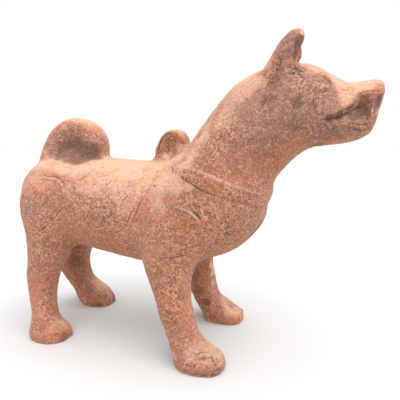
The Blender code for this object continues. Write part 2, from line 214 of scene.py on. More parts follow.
class StainOrPaintedLight(Enum):
    """What colours the clay in a place, each with the attribute that carries it. Most are stains; the paler
    one is partly painted light, and the dark brown one is painted shade, laid where shade falls.
    """

    SOOT = "soot"
    # painted shade: dark brown laid where shade falls, in hollows, under edges and on faces turned from the
    # light
    DUSK = "dusk"
    GREY = "grey"
    OCHRE = "ochre"
    MAUVE = "mauve"
    # paler clay, partly painted light where the figure is lit
    PALE = "pale"


@dataclass(frozen=True)
class Stroke:
    """A line over the clay, through pixels of the photograph.

    It is pressed in, or raised where press is negative. Both sizes are in millimetres. Dark darkens it: as
    dirt in a score, and as painted shade along the mouth, nose, ear, strap and tail. Where negative it
    lightens it as a painted highlight.
    """

    path: Path
    reach: float
    press: float
    dark: float
    both: bool = True


Strokes = tuple[Stroke, ...]


@dataclass(frozen=True)
class Patch:
    """A stained place, or a place of painted light or shade, round the clay that a pixel shows, its radius in
    millimetres.
    """

    stain: StainOrPaintedLight
    pixel: Pixel
    radius: float
    strength: float
    both: bool = True


@dataclass(frozen=True)
class Viewpoint:
    """Where the photograph was taken from, fitted to the figure's outline, in metres and degrees."""

    ahead_of_rump: float = 0.3033
    beside: float = 0.3323
    height: float = 0.1955
    turn: float = 16.949
    tilt: float = 8.087
    lens: float = 31.5
    sensor: float = 36.0
    clip_start: float = 0.01
    clip_end: float = 100.0

    def place(self, low: Vector) -> Vector:
        """The camera's place, from the figure's lowest corner."""
        return Vector((low.x + self.ahead_of_rump, -self.beside, self.height))

    def ways(self) -> tuple[Vector, Vector, Vector]:
        """Finds the photograph's axes.

        Returns:
            The directions that are forward, right and down in it.
        """
        turn = math.radians(self.turn)
        tilt = math.radians(self.tilt)
        flat = math.cos(tilt)
        forward = Vector((-math.sin(turn) * flat, math.cos(turn) * flat, -math.sin(tilt)))
        right = Vector((math.cos(turn), math.sin(turn), 0.0))
        return forward, right, forward.cross(right)

    def ray(self, pixel: Pixel) -> Vector:
        """Finds the direction in which a pixel looks.

        Args:
            pixel: The pixel of the photograph.

        Returns:
            The direction, of unit length.
        """
        forward, right, down = self.ways()
        reach = self.lens / self.sensor * PHOTO
        across = (pixel[0] - PHOTO / 2) / reach
        below = (pixel[1] - PHOTO / 2) / reach
        return (forward + right * across + down * below).normalized()

    def make(self, low: Vector) -> None:
        """Makes the scene's camera.

        Args:
            low: The figure's lowest corner.
        """
        data = bpy.data.cameras.new("photograph")
        data.lens = self.lens
        data.sensor_width = self.sensor
        data.dof.use_dof = False
        data.clip_start = self.clip_start
        data.clip_end = self.clip_end
        camera = bpy.data.objects.new("photograph", data)
        camera.location = self.place(low)
        camera.rotation_euler = (math.radians(90 - self.tilt), 0.0, math.radians(self.turn))
        bpy.context.scene.collection.objects.link(camera)
        bpy.context.scene.camera = camera


class Clay:
    """The clay's surface, as the photograph's rays and the mirror plane meet it."""

    def __init__(self, piece: bpy.types.Object, view: Viewpoint, low: Vector) -> None:
        """Reads the surface.

        Args:
            piece: The piece whose surface it is.
            view: The photograph's viewpoint.
            low: The figure's lowest corner.
        """
        mesh = piece.data
        self.tree = BVHTree.FromPolygons(
            [v.co.copy() for v in mesh.vertices], [tuple(p.vertices) for p in mesh.polygons]
        )
        self.view = view
        self.eye = view.place(low)

    def under(self, pixel: Pixel) -> Vector | None:
        """The point of the clay that a pixel shows, or None beside the figure."""
        return self.tree.ray_cast(self.eye, self.view.ray(pixel))[0]

    def across(self, point: Vector) -> Vector:
        """The point of the clay on the figure's other side."""
        return self.tree.find_nearest(Vector((point.x, -point.y, point.z)))[0]

    def centres(self, pixel: Pixel, both: bool = True) -> tuple[Vector, ...]:
        """Finds the middle of a mark.

        Args:
            pixel: The pixel that shows it.
            both: Whether the other side has it too.

        Returns:
            The point on each side, or none where the pixel lies beside the figure.
        """
        near = self.under(pixel)
        if near is None:
            LOG.warning("the pixel %s is beside the figure", pixel)
            return ()
        return (near, self.across(near)) if both else (near,)

    def trace(self, path: Path, both: bool) -> list[list[Vector]]:
        """Lays a smooth line over the clay.

        Args:
            path: The pixels that it goes through.
            both: Whether the other side has it too.

        Returns:
            A list of points for each side.
        """
        spots = smooth_path(np.array(path, dtype=float), LINE_STEP)
        near = [p for p in (self.under((u, v)) for u, v in spots) if p is not None]
        sides = [near]
        if both:
            sides.append([self.across(p) for p in near])
        return [side for side in sides if len(side) > 1]


def smooth_path(spots: np.ndarray, step: float) -> np.ndarray:
    """Rounds a path's corners and spaces its points.

    Args:
        spots: The path's points, one a row.
        step: The distance between the new points.

    Returns:
        The new points.
    """
    at = np.concatenate([[0.0], np.cumsum(np.linalg.norm(np.diff(spots, axis=0), axis=1))])
    slopes = np.gradient(spots, at, axis=0) if len(spots) > 2 else np.diff(spots, axis=0) / at[-1]
    slopes = np.broadcast_to(slopes, spots.shape)
    rows = []
    for where in np.linspace(0, at[-1], max(int(at[-1] / step), 2) + 1):
        i = min(int(np.searchsorted(at, where, side="right")) - 1, len(spots) - 2)
        gap = at[i + 1] - at[i]
        t = (where - at[i]) / gap
        rows.append(
            (2 * t**3 - 3 * t**2 + 1) * spots[i]
            + (t**3 - 2 * t**2 + t) * gap * slopes[i]
            + (3 * t**2 - 2 * t**3) * spots[i + 1]
            + (t**3 - t**2) * gap * slopes[i + 1]
        )
    return np.array(rows)


class Recipe:
    """A Geometry Nodes tree with named inputs, worked on a piece and turned into its mesh."""

    def __init__(self, name: str) -> None:
        """Starts the tree.

        Args:
            name: The tree's name.
        """
        self.tree = bpy.data.node_groups.new(name, "GeometryNodeTree")
        for way in ("INPUT", "OUTPUT"):
            self.tree.interface.new_socket("Geometry", in_out=way, socket_type="NodeSocketGeometry")
        self.start = add(self.tree, "NodeGroupInput")
        self.values: dict[str, object] = {}

    @property
    def geometry(self) -> bpy.types.NodeSocket:
        """What comes into the tree."""
        return self.start.outputs["Geometry"]

    def take(self, name: str, value: object, kind: str = "NodeSocketFloat") -> bpy.types.NodeSocket:
        """Adds a named input.

        Args:
            name: The input's name.
            value: What it is set to on the modifier.
            kind: The socket's type.

        Returns:
            The socket that gives it inside the tree.
        """
        self.tree.interface.new_socket(name, in_out="INPUT", socket_type=kind)
        self.values[name] = value
        return self.start.outputs[name]

    def work(self, piece: bpy.types.Object, result: bpy.types.Node, finish: bpy.types.Material) -> None:
        """Closes the tree, works it on a piece and turns the outcome into the piece's mesh.

        Args:
            piece: The piece.
            result: The node whose geometry the tree gives.
            finish: The piece's material.
        """
        real = add(self.tree, "GeometryNodeRealizeInstances", {"Geometry": result})
        clad = add(self.tree, "GeometryNodeSetMaterial", {"Geometry": real, "Material": finish})
        add(self.tree, "NodeGroupOutput", {"Geometry": clad})
        mod = piece.modifiers.new(self.tree.name, "NODES")
        mod.node_group = self.tree
        for item in self.tree.interface.items_tree:
            if item.in_out == "INPUT" and item.name in self.values:
                mod[item.identifier] = self.values[item.name]
        settle(piece)


@dataclass(frozen=True)
class Pattern:
    """A noise whose period is size millimetres, and highest along its middling lines where it is folded."""

    size: float
    detail: float = 2.0
    rough: float = 0.5
    warp: float = 0.0
    folded: bool = False


@dataclass(frozen=True)
class Coat:
    """A colour over the clay.

    It begins to cover where its pattern, plus the attribute that holds it, passes start, and it reaches its
    strength at end.
    """

    colour: str
    pattern: str
    start: float
    end: float
    strength: float
    held_by: str = ""


@dataclass(frozen=True)
class Relief:
    """A pattern's rise in millimetres."""

    pattern: str
    rise: float


@dataclass(frozen=True)
class Earthenware:
    """Low-fired red earthenware, pressed and smoothed by hand, unglazed and long buried.

    It is open and matt: salmon, going to peach where it faces up and to orange-tan below, partly as the slip
    has worn pale above and partly as painted light and painted shade, with soot and root marks in wandering
    lines a millimetre wide. Its dust brightens it at a glancing angle.
    Patterns are sized in millimetres. The grain of such clay is about 0.3 mm, too fine to show, so it is
    drawn at about 1 mm.
    """

    body: str = "#B1755A"
    roughness: float = 0.9
    specular: float = 0.2
    dust: float = 0.3
    dust_roughness: float = 0.45
    dust_colour: str = "#FFE0D0"
    fold: float = 0.5  # the noise at which a folded pattern is highest
    patterns: dict[str, Pattern] = field(
        default_factory=lambda: {
            "cloud": Pattern(34.0, 3.0),
            "blotch": Pattern(13.0, 4.0, 0.6),
            "mottle": Pattern(6.0, 3.0, 0.6),
            "worm": Pattern(2.4, 1.5, 0.5, 0.6),
            "ridge": Pattern(4.2, 2.0, 0.55, 0.9, True),
            "channel": Pattern(3.6, 2.0, 0.55, 0.9, True),
            "speck": Pattern(3.2, 1.0, 0.4, 0.5),
            "dent": Pattern(6.0, 2.0),
            "grain": Pattern(1.3, 2.0, 0.6),
        }
    )
    coats: tuple[Coat, ...] = (
        Coat("#9A6451", "cloud", 0.40, 0.62, 0.8),
        # partly painted light and painted shade: peach where the clay faces up, orange-tan where it faces
        # down; partly the slip worn pale above
        Coat("#C69F82", "blotch", 0.85, 1.4, 1.0, "skyward"),
        Coat("#A16648", "blotch", 0.15, 0.9, 0.9, "earthward"),
        Coat("#D3A58C", "blotch", 0.9, 1.5, 0.8, "pale"),
        Coat("#A5663F", "blotch", 0.9, 1.5, 0.8, "ochre"),
        Coat("#956D60", "blotch", 0.75, 1.3, 0.9, "mauve"),
        Coat("#75716A", "blotch", 0.9, 1.3, 0.7, "grey"),
        Coat("#74503F", "mottle", 0.65, 1.5, 0.45, "soot"),
        Coat("#704A3B", "worm", 0.50, 0.72, 0.5, "worn"),
        Coat("#DAAB94", "worm", 0.46, 0.28, 0.55),
        Coat("#6B4435", "channel", 0.455, 0.50, 0.65, "worn"),
        Coat("#D29D80", "ridge", 0.455, 0.50, 0.6, "worn"),
        Coat("#E2B8AB", "grain", 1.53, 1.8, 0.5, "mauve"),
        # painted shade: dark brown over the places given for it
        Coat("#64453A", "blotch", 0.65, 1.35, 0.85, "dusk"),
        Coat("#4A342C", "speck", 0.66, 0.76, 0.5, "worn"),
        # darker along the pressed lines: dirt in the scores, and painted shade in the recesses of the mouth,
        # nose, ear, strap and tail
        Coat("#3B2720", "grain", 0.5, 1.25, 0.9, "groove"),
        # painted highlight: lighter along the raised lines
        Coat("#D6AC92", "grain", 0.6, 1.4, 0.7, "burr"),
        # darker in the hollows: painted shade, with the dirt that the hollows hold
        Coat("#4E3A34", "grain", 0.65, 1.5, 0.6, "hollow"),
        Coat("#CFA88F", "grain", 0.65, 1.5, 0.5, "crest"),
        Coat("#5A4038", "grain", 0.55, 0.8, 0.3),
        Coat("#CFA88F", "grain", 0.45, 0.25, 0.25),
    )
    reliefs: tuple[Relief, ...] = (
        Relief("grain", 0.3),
        Relief("dent", 1.4),
        Relief("worm", -0.5),
        Relief("channel", -1.0),
        Relief("ridge", 1.3),
    )

    def make(self) -> bpy.types.Material:
        """Makes the material.

        Returns:
            The material, on Object coordinates and the piece's own attributes.
        """
        material = bpy.data.materials.new("low-fired earthenware")
        material.use_nodes = True
        material.node_tree.nodes.clear()
        node = partial(add, material.node_tree)
        place = out(node("ShaderNodeTexCoord"), "Object")
        noises = {}
        for name, kind in self.patterns.items():
            settings = {
                "Vector": place,
                "Scale": 1 / (kind.size * MM),
                "Detail": kind.detail,
                "Roughness": kind.rough,
                "Distortion": kind.warp,
            }
            noises[name] = node("ShaderNodeTexNoise", settings)
            if kind.folded:
                noises[name] = node("ShaderNodeMath", {0: noises[name], 1: self.fold}, operation="PINGPONG")
        held = {
            name: out(node("ShaderNodeAttribute", attribute_name=name), "Fac")
            for name in sorted({coat.held_by for coat in self.coats if coat.held_by})
        }

        colour = rgb(self.body)
        for coat in self.coats:
            height = noises[coat.pattern]
            if coat.held_by:
                height = node("ShaderNodeMath", {0: height, 1: held[coat.held_by]}, operation="ADD")
            limits = {"From Min": coat.start, "From Max": coat.end, "To Min": 0.0, "To Max": coat.strength}
            share = node("ShaderNodeMapRange", {"Value": height, **limits}, interpolation_type="SMOOTHSTEP")
            layers = {"Factor": share, "A": colour, "B": rgb(coat.colour)}
            colour = node("ShaderNodeMix", layers, data_type="RGBA")

        height = 0.0
        for relief in self.reliefs:
            parts = {0: noises[relief.pattern], 1: relief.rise * MM, 2: height}
            height = node("ShaderNodeMath", parts, operation="MULTIPLY_ADD")
        bump = node("ShaderNodeBump", {"Strength": 1.0, "Distance": 1.0, "Height": height})
        shader = node(
            "ShaderNodeBsdfPrincipled",
            {
                "Base Color": colour,
                "Normal": bump,
                "Roughness": self.roughness,
                "Specular IOR Level": self.specular,
                "Sheen Weight": self.dust,
                "Sheen Roughness": self.dust_roughness,
                "Sheen Tint": rgb(self.dust_colour),
                "Metallic": 0.0,
            },
        )
        node("ShaderNodeOutputMaterial", {"Surface": shader})
        return material


def alike(reach: float, press: float, dark: float, *paths: Path, both: bool = True) -> Strokes:
    """Makes strokes that differ only in their paths."""
    return tuple(Stroke(path, reach, press, dark, both) for path in paths)


@dataclass(frozen=True)
class Region:
    """A region of the figure, whose fields are its lines and the places that each stain, or painted light or
    shade, has coloured.

    The places are under the stain's name, or that name and "here" where the other side doesn't have them.
    """

    chips: tuple[Pixel, ...] = ()
    broken: tuple[tuple[Pixel, float], ...] = ()

    def lines(self, raised: bool) -> list[Stroke]:
        """Finds the region's lines.

        Args:
            raised: Whether the raised ones are wanted, or else the ones pressed in.

        Returns:
            The lines, in the order of the fields.
        """
        values = [getattr(self, item.name) for item in fields(self)]
        groups = [value if isinstance(value, tuple) else (value,) for value in values]
        strokes = [item for group in groups for item in group if isinstance(item, Stroke)]
        return [stroke for stroke in strokes if (stroke.press < 0) == raised]

    def patches(self) -> list[Patch]:
        """Finds the region's stained places.

        Returns:
            A patch for each.
        """
        found = []
        for stain in StainOrPaintedLight:
            for name, both in ((stain.value, True), (stain.value + "_here", False)):
                for u, v, radius, strength in getattr(self, name, ()):
                    found.append(Patch(stain, (u, v), radius, strength, both))
        return found


@dataclass(frozen=True)
class Head(Region):
    """The ears, eyes, cheeks and mouth."""

    brow: Stroke = Stroke(((320.5, 75), (325.5, 78.2), (329.6, 82), (331, 86.5)), 1.3, 1.1, 1)
    lid: Stroke = Stroke(((316.5, 93.6), (320, 92.8), (324.5, 91.2), (329, 87.5)), 1.2, 0.8, 0.85)
    upper_lid: Stroke = Stroke(((317.5, 84.5), (320.5, 81), (325, 80.2), (329, 84)), 1, 0.4, 0.35)
    cheek: Stroke = Stroke(((313.2, 96), (313.4, 101), (314.4, 106), (316.2, 112)), 1.1, 1, 1)
    lip_shade: Stroke = Stroke(
        ((326, 118.6), (335, 115.2), (346, 109.8), (354, 104.6), (359, 99), (363, 96), (369, 94.6)), 2, 1, 0.4
    )
    # painted shade: the dark of the mouth's slit
    slit: Stroke = Stroke(
        ((324.6, 119.8), (330, 118.8), (336, 117.6), (342, 115.4), (349, 111.6)), 2.5, 1.8, 1.3
    )
    # painted shade under the roof of the mouth
    inner_roof: Stroke = Stroke(((348, 112.4), (355, 109), (361, 106), (366, 104), (371, 102.6)), 1.8, 1, 0.9)
    # painted shade beneath the nose
    nostril: Stroke = Stroke(((379, 101.5), (380.6, 97), (382.4, 93.6)), 3, 0.8, 0.5)
    under_tongue: Stroke = Stroke(((346, 122.4), (354, 124), (361, 125.2), (367, 126.4)), 1, 0.5, 0.4)
    chin_line: Stroke = Stroke(((345, 125.4), (353, 128.4), (362, 130.4), (369.5, 129.8)), 1.4, 0.5, 0.55)
    # painted shade beside the mouth's pillar
    pillar_edge: Stroke = Stroke(((369.8, 104.5), (368.8, 111), (367.4, 118), (366.4, 123)), 1.3, 0.9, 0.7)
    pit: Stroke = Stroke(((363.5, 123), (366.6, 124.6)), 1.6, 1.4, 1)
    # painted shade along the nose's underside
    nose_line: Stroke = Stroke(
        ((357, 97.4), (361, 93.6), (368, 91.4), (376, 90.8), (382, 91.4)), 1.3, 0.4, 0.5
    )
    # pressed in, with painted shade in the ear's groove
    ear_groove: Stroke = Stroke(
        ((281, 56), (279, 67), (273.5, 77), (270.5, 86), (267.5, 95), (262.5, 104), (258.5, 113)),
        4.4, 1.4, 0.15,
    )
    # painted shade on the ear's front edge, which faces away from the light
    ear_front: Stroke = Stroke(((300, 37), (296.4, 44), (294.6, 51), (293.8, 59.5)), 1.8, 0.7, 0.2)
    bridge: Strokes = alike(
        0.9, 0.35, 0.5, ((339, 88.5), (344, 90.4), (349, 90.8)), ((340, 91.8), (344, 93.4), (347.5, 93.2))
    )
    jaw: Strokes = alike(
        1.1, 0.6, 0.8,
        ((315, 128.5), (312.5, 132)), ((309.5, 136.5), (314, 137.4), (318, 136.2)),
        ((331.5, 127.5), (334.5, 130)), ((299, 87), (299.6, 91)), ((301, 95), (302.6, 98)),
        ((318, 93), (319.4, 94.4)),
    )
    ear_dots: Strokes = alike(1.1, 0.6, 0.8, ((279, 56), (277.8, 59.6)), ((278, 62), (276.6, 66)))
    torn: Strokes = alike(
        1.4, 1.4, 1,
        ((289.5, 72.5), (292.5, 73.6), (295, 71.6)), ((291.5, 67.5), (297, 68.6), (303, 71.6), (306.5, 72.2)),
        ((299, 66), (304, 68), (307, 69.6)), ((297.5, 74), (302, 74.8)),
    )
    # raised, with a painted highlight on the lip's crest
    lip_crest: Stroke = Stroke(
        ((324, 116.4), (333, 112.4), (343, 107.2), (350, 102.4), (354.6, 96.6), (359.5, 92), (369, 89.4)),
        2.4, -1.3, -0.4,
    )
    eyeball: Stroke = Stroke(((320.5, 87.5), (323, 85.5), (325.8, 85.2)), 3.4, -0.9, 0)
    # raised, with a painted highlight on the ear's back rim
    ear_rim: Stroke = Stroke(
        ((286, 38), (278.5, 48), (272.5, 60), (268.5, 72), (265.5, 84), (261, 95), (255, 106)),
        3.2, -0.9, -0.4,
    )
    # raised, with a painted highlight on its top
    tongue: Stroke = Stroke(((336, 119.4), (345, 120.8), (356, 122.2), (363, 122.4)), 1.8, -0.5, -0.3)
    # raised, with a painted highlight along the lower lip
    lower_lip: Stroke = Stroke(((349, 125.2), (358, 126.6), (367.5, 128.2)), 1.3, -0.8, -0.7)
    # raised, with a painted highlight along the lip's underside and its folds
    lip_under: Stroke = Stroke(
        ((346, 111.2), (352, 107), (358, 102.4), (364, 99), (371, 97.6)), 2.4, -0.9, -0.2
    )
    lip_folds: Stroke = Stroke(((350, 105.6), (356, 100.8), (362, 97), (370, 95.4)), 1.1, -0.5, -0.5)
    # raised, with a painted highlight down the mouth's pillar
    pillar: Stroke = Stroke(((373, 103), (372.2, 110), (371.2, 117), (370.6, 121.5)), 1.3, -1.2, -1.3)
    chips: tuple[Pixel, ...] = ((303.5, 31),)
    broken: tuple[tuple[Pixel, float], ...] = (((292, 71), 7), ((301, 70), 8), ((297, 64), 5))
    mauve: Places = (
        (301, 100, 33, 1), (275, 115, 38, 0.8), (322, 94, 24, 0.7), (328, 126, 22, 0.8), (312, 143, 14, 0.4),
        (286, 48, 20, 1), (266, 99, 17, 0.6), (284, 76, 16, 1), (273, 74, 13, 0.5),  # the ear
        (353, 120, 11, 0.9), (362, 112, 22, 0.9), (238, 100, 34, 0.4),
    )
    # painted shade under the jaw, in the ear's groove, on the ear's front edge, under the lip and beneath the
    # nose, and a little over the cheek and the ear
    dusk: Places = (
        (285, 133, 20, 0.25), (345, 133, 13, 0.4), (317, 145, 9, 0.7), (326, 133, 20, 0.35),  # the jaw
        (300, 104, 32, 0.25), (297, 103.5, 6, 0.7), (298, 70, 8, 0.6),
        (353, 117.5, 8, 0.6), (362, 112, 10, 0.6),
        (284, 74, 10, 0.4), (287, 48, 16, 0.3), (279, 60, 5, 0.4), (278, 70, 6.5, 0.5),  # the ear's groove
        (275.5, 80, 6.5, 0.5), (277, 84, 8, 0.4), (274, 93, 9, 0.4), (269, 100, 8, 0.4), (265, 98, 9, 0.4),
        (303, 40, 5, 0.4), (301, 46, 5, 0.4), (300.5, 52, 5, 0.4), (300.5, 39, 5.5, 0.8),  # the ear's front
        (298.8, 45, 5.5, 0.9), (297, 51, 5, 0.6), (295.2, 57, 4.5, 0.4),
        (330, 118, 5.5, 1), (339, 114.8, 6.5, 0.9), (349, 110, 6.5, 0.7), (359, 103, 6, 0.45),  # the lip
        (380.4, 98, 5.5, 0.8), (378.4, 104, 4.5, 0.6), (383.5, 94, 4, 0.6),  # the nose
    )
    ochre: Places = ((310, 141, 11, 0.6), (330, 138, 16, 0.35), (318, 146, 18, 0.6), (292, 156, 22, 0.6))
    # paler clay, partly painted light on the ear's lit rim, the muzzle's top, the mouth's pillar and the
    # lower lip; the chip at the ear's tip and the neck are pale clay
    pale: Places = (
        (230, 107, 12, 0.6), (252, 106, 9, 0.8), (244, 84, 22, 0.8), (238, 102, 22, 0.9), (225, 120, 20, 0.9),
        (267, 64, 10, 1), (260, 82, 10, 1), (252, 94, 9, 0.8), (302.5, 33, 4, 1),  # the ear
        (334, 79, 9, 0.9), (346, 97, 16, 0.85), (339, 86, 10, 1), (314, 74, 12, 0.6), (363, 85, 15, 1),
        (371, 116, 6, 0.8), (374, 125, 6, 0.7),
    )
    soot: Places = (
        (296, 103, 8.5, 0.9), (305, 90, 24, 0.45), (298, 70, 11, 1), (268, 112, 14, 0.6), (382.5, 93, 8, 0.8),
    )
    grey: Places = ((297, 103.5, 9, 1), (354, 129.6, 6, 0.8), (360, 131, 5, 0.8), (359, 96, 4.5, 0.4))


@dataclass(frozen=True)
class Harness(Region):
    """The strap round the root of the neck and the round lug on the withers."""

    lug_line: Stroke = Stroke(
        ((159.5, 158), (158.6, 150), (160.2, 142.5), (163.4, 136.8), (168.6, 133.2), (174, 132.6)),
        1.4, 0.7, 0.8,
    )
    # painted shade along the strap's lower edge
    lower_line: Stroke = Stroke(
        ((178, 175), (185, 180.2), (194, 186.2), (204, 191.6), (214, 195.4), (222, 198.4)), 1.8, 1.2, 0.35
    )
    # painted shade where the strap's lower edge fades into the chest
    lower_end: Stroke = Stroke(
        ((222, 198.4), (234, 201.6), (246, 205), (258, 207.4), (267, 208)), 3.6, 1.1, 0.1
    )
    above: Stroke = Stroke(((198, 168.8), (208, 172.6), (218, 177), (228, 181.4), (240, 186)), 3.6, 0.8, 0)
    dark_mark: Stroke = Stroke(((237.4, 188), (239.4, 193), (240.6, 198)), 1.4, 0.7, 0.9)
    lug_dots: Strokes = alike(
        1.2, 0.7, 0.9,
        ((176.5, 133.5), (177, 137)), ((181.5, 141.5), (184, 144)),
        ((170.8, 156.5), (170.2, 161)), ((171.5, 165), (173.5, 172)),
    )
    # raised, with a painted highlight along the strap's upper edge
    upper_edge: Stroke = Stroke(
        (
            (186, 168.5), (195, 170.8), (205, 174.2), (214, 178), (224, 182.6), (236, 187.4), (250, 192),
            (266, 195.6),
        ),
        4.2, -1.4, -0.4,
    )
    soot: Places = (
        (168, 147, 10, 0.9), (185, 176.5, 6.5, 0.8), (193, 180, 6.5, 0.5), (200, 185, 5.5, 0.8),
        (228, 193, 6, 0.7), (239.5, 193, 5.5, 1), (211, 148, 20, 1), (226, 134, 14, 0.8), (264, 176, 14, 0.5),
    )
    mauve: Places = ((168, 147, 9, 0.7), (254, 215, 20, 0.5), (258, 122, 30, 0.8), (234, 158, 24, 0.5))
    # painted shade in the lug, under the strap, along the chest's lower edge and over the throat
    dusk: Places = (
        (167, 148, 6, 0.35), (250, 194, 11, 0.3), (259, 226, 9, 0.9), (253, 234, 9, 0.7),
        (250, 158, 44, 0.35),
    )
    # paler clay, mostly painted light where the lug, the back of the neck and the strap's edge are lit
    pale: Places = (
        (179, 148, 9, 0.9), (167, 156, 9, 0.9), (170, 164, 10, 0.6), (186, 165, 12, 0.9),  # the lug
        (203, 140, 14, 0.8), (194, 154, 10, 0.8), (196, 146, 12, 0.7),  # the back of the neck
        # the strap's edge, a painted highlight
        (198, 171, 6.5, 0.5), (203, 173, 6.5, 0.5), (208, 175, 6.5, 0.5), (213, 177.2, 6.5, 0.5),
        (218, 179.5, 6.5, 0.5), (223, 182, 6.5, 0.5), (229, 185, 6.5, 0.5), (237, 188.5, 6.5, 0.4),
        (246, 191.5, 6.5, 0.4), (176, 186, 14, 1), (189, 187, 8, 0.9), (226, 205, 9, 0.5),
        (242, 209, 10, 0.5),
    )
    ochre: Places = (
        (262, 162, 36, 0.35), (236, 166, 24, 0.35), (270, 165, 22, 0.5),  # the throat
        (209, 186, 7.5, 1), (219, 190, 7, 1), (252, 214, 20, 0.5), (248, 236, 22, 0.6),
    )


@dataclass(frozen=True)
class Tail(Region):
    """The tail's curl and its soft hollow."""

    # pressed in, with painted shade where the curl meets the back
    contact: Stroke = Stroke(
        ((44, 155), (55, 158.6), (66, 162.6), (79, 165), (93, 161.6), (105, 156)), 3.6, 0.8, 0.1
    )
    # mauve and soot over the curl, partly its own colour and partly painted shade in its hollow
    mauve: Places = ((73, 146, 27, 1), (58, 146, 20, 0.9), (92, 146, 22, 1))
    soot: Places = ((78, 144, 26, 0.7), (101, 140, 12, 0.8))
    # painted shade in the curl's hollow and along its foot
    dusk: Places = (
        (57, 148, 13, 0.35), (68, 147, 13, 0.6), (80, 147, 16, 0.5), (76, 143, 16, 0.3), (90, 145, 12, 0.35),
        (98, 150, 9, 0.25), (82, 153, 13, 0.7), (90, 151, 14, 0.7), (79, 158, 12, 0.7), (100, 158.5, 6, 0.5),
        (60, 155, 12, 0.7), (68, 157, 13, 0.7), (77, 159, 13, 0.7), (86, 159, 13, 0.6), (95, 155, 12, 0.6),
    )
    # painted light on the curl's lit rim
    pale: Places = ((99, 133, 10, 0.7), (64, 128, 9, 0.8))


@dataclass(frozen=True)
class Trunk(Region):
    """The barrel, the shoulder and the haunch."""

    shoulder_line: Stroke = Stroke(((189.5, 209), (197, 215), (203, 221.4)), 1.3, 0.9, 1)
    thigh_line: Stroke = Stroke(
        ((37, 175.4), (47, 176), (57, 177.2), (63.4, 182.4), (65.8, 190)), 1.4, 0.7, 0.4
    )
    scratches: Strokes = alike(
        1.1, 0.8, 0.7,
        ((78.5, 182), (84, 177), (90, 172)), ((91, 184.6), (97, 184.4)), ((100, 168.4), (105, 166)),
        ((121, 202.4), (125.5, 198), (129.5, 193.6)), ((32.5, 200), (38.8, 193)),
        ((49, 222.4), (55.5, 216.6), (63.5, 206.4)), ((143, 197), (139, 206), (136, 214), (133.6, 221.4)),
        ((151, 206), (147.6, 210.6)), ((72, 186), (77.5, 191)), ((101, 196), (107.5, 190.5)),
        ((112, 214), (106.5, 220)), ((88, 224), (96, 227.6), (104, 226)), ((152, 184), (157, 188.6)),
        ((103, 187), (108, 184), (113, 178.4)), ((76, 207), (79, 199), (80.4, 191)),
        ((40, 231), (46, 226.6), (50, 222)), ((126, 226), (129.6, 217), (134, 208)),
        ((146, 192.6), (150, 187), (153, 180.4)),
        both=False,
    )
    # raised, with a painted highlight along the shoulder's ridge
    shoulder_ridge: Stroke = Stroke(
        ((170, 206), (180, 208.4), (189, 212), (195.5, 217.6), (200, 225), (202, 232)), 2, -1.3, -0.9
    )
    # raised, with a painted highlight along the thigh's ridge
    thigh_ridge: Stroke = Stroke(
        ((38, 177.6), (47, 178.4), (55, 179.6), (61, 184), (63.4, 190), (63, 197)), 2.6, -1.2, -0.55
    )
    # the raised clay beside each scratch, painted lighter as a highlight
    burr: tuple[float, float, float] = (1.1, -0.5, -0.7)  # beside a scratch: its reach, press and darkness
    burr_shift: Pixel = (1.3, 1)
    # paler clay, mostly painted light along the back and the upper flank, which the light from above reaches
    pale: Places = (
        (73, 190, 20, 0.6), (88, 186, 14, 0.8), (104, 188, 18, 0.8), (122, 187, 16, 0.7), (142, 190, 20, 0.7),
        (157, 208, 18, 0.8), (126, 205, 18, 0.7), (102, 202, 30, 0.5), (44, 202, 24, 0.5),
        (130, 172, 34, 0.8), (165, 180, 24, 0.9), (95, 170, 26, 0.5), (78, 173, 16, 0.8),  # the back
        (60, 166, 24, 0.8), (38, 166, 18, 0.7),
    )
    # painted shade low on the shoulder and on the rear leg
    dusk: Places = ((178, 244, 16, 0.25), (45, 288, 16, 0.2))
    soot: Places = (
        (98, 208, 24, 0.5), (112, 224, 18, 0.5), (48, 196, 16, 0.7), (40, 224, 18, 0.6), (46, 250, 16, 0.8),
        (202, 208, 14, 1), (190, 202, 12, 0.7), (222, 228, 15, 1), (166, 236, 24, 0.6), (182, 246, 20, 0.5),
    )
    ochre: Places = (
        (176, 236, 28, 0.6), (72, 232, 20, 0.7), (112, 246, 26, 0.8), (180, 224, 13, 0.8),
        (154, 204, 16, 0.4), (228, 212, 15, 0.6),
    )
    mauve: Places = ((30, 208, 20, 0.8),)

    def lines(self, raised: bool) -> list[Stroke]:
        """Finds the region's lines, and the clay that each scratch has pushed up beside it, painted lighter
        as a highlight.

        Args:
            raised: Whether the raised ones are wanted, or else the ones pressed in.

        Returns:
            The lines, in the order of the fields, and after them the burrs, which are raised and given a
            painted highlight.
        """
        across, down = self.burr_shift
        beside = [tuple((u + across, v + down) for u, v in scratch.path) for scratch in self.scratches]
        burrs = alike(*self.burr, *beside, both=False)
        return super().lines(raised) + [burr for burr in burrs if raised]


